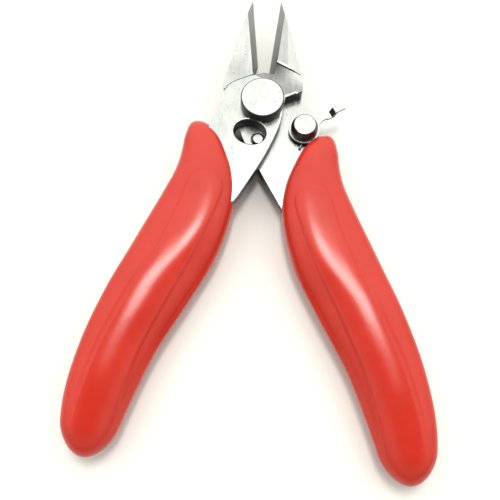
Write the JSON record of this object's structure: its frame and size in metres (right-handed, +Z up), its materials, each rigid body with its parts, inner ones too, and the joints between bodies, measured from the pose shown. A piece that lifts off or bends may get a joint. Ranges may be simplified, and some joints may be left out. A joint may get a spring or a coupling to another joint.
{
  "type": "mini flush cutter",
  "caption": "Small flush cutter with two lapped steel arms on one rivet, a hidden return spring, a stop pin in a window, dipped red grips and a swinging lock lever.",
  "frame": {"origin": "centre of the tool's box at the level of the surface it lies on, with the jaws open", "axes": "+Y from the handles to the jaw tips, +Z up out of the face with the rivet head and the lock lever, +X to the right handle"},
  "size_m": [0.059, 0.0898, 0.0089],
  "materials": {
    "satin_steel": "satin ground steel with fine grinding lines",
    "spring_steel": "drawn spring wire",
    "red_vinyl": "glossy soft vinyl"
  },
  "bodies": {
    "front": {"front_arm": "satin_steel", "left_grip": "red_vinyl", "pivot_rivet": "satin_steel", "pivot_washer": "satin_steel", "return_spring": "spring_steel"},
    "rear": {"rear_arm": "satin_steel", "right_grip": "red_vinyl", "stop_pin": "satin_steel", "lock_rivet": "satin_steel", "lock_spring": "spring_steel"},
    "lever": {"lock_lever": "satin_steel"}
  },
  "joints": [
    {"name": "jaw_hinge", "type": "hinge", "parent": "front", "child": "rear", "pos_m": [-0.0001, 0.01917, 0.00435], "axis": [0, 0, -1], "range_deg": [0, 12], "stiffness_Nm_per_rad": 0.4, "springref_deg": -28.65, "deforming": ["return_spring"]},
    {"name": "lock_hinge", "type": "hinge", "parent": "rear", "child": "lever", "pos_m": [0.0077, 0.01481, 0.00495], "axis": [0, 0, 1], "range_deg": [0, 36]}
  ]
}
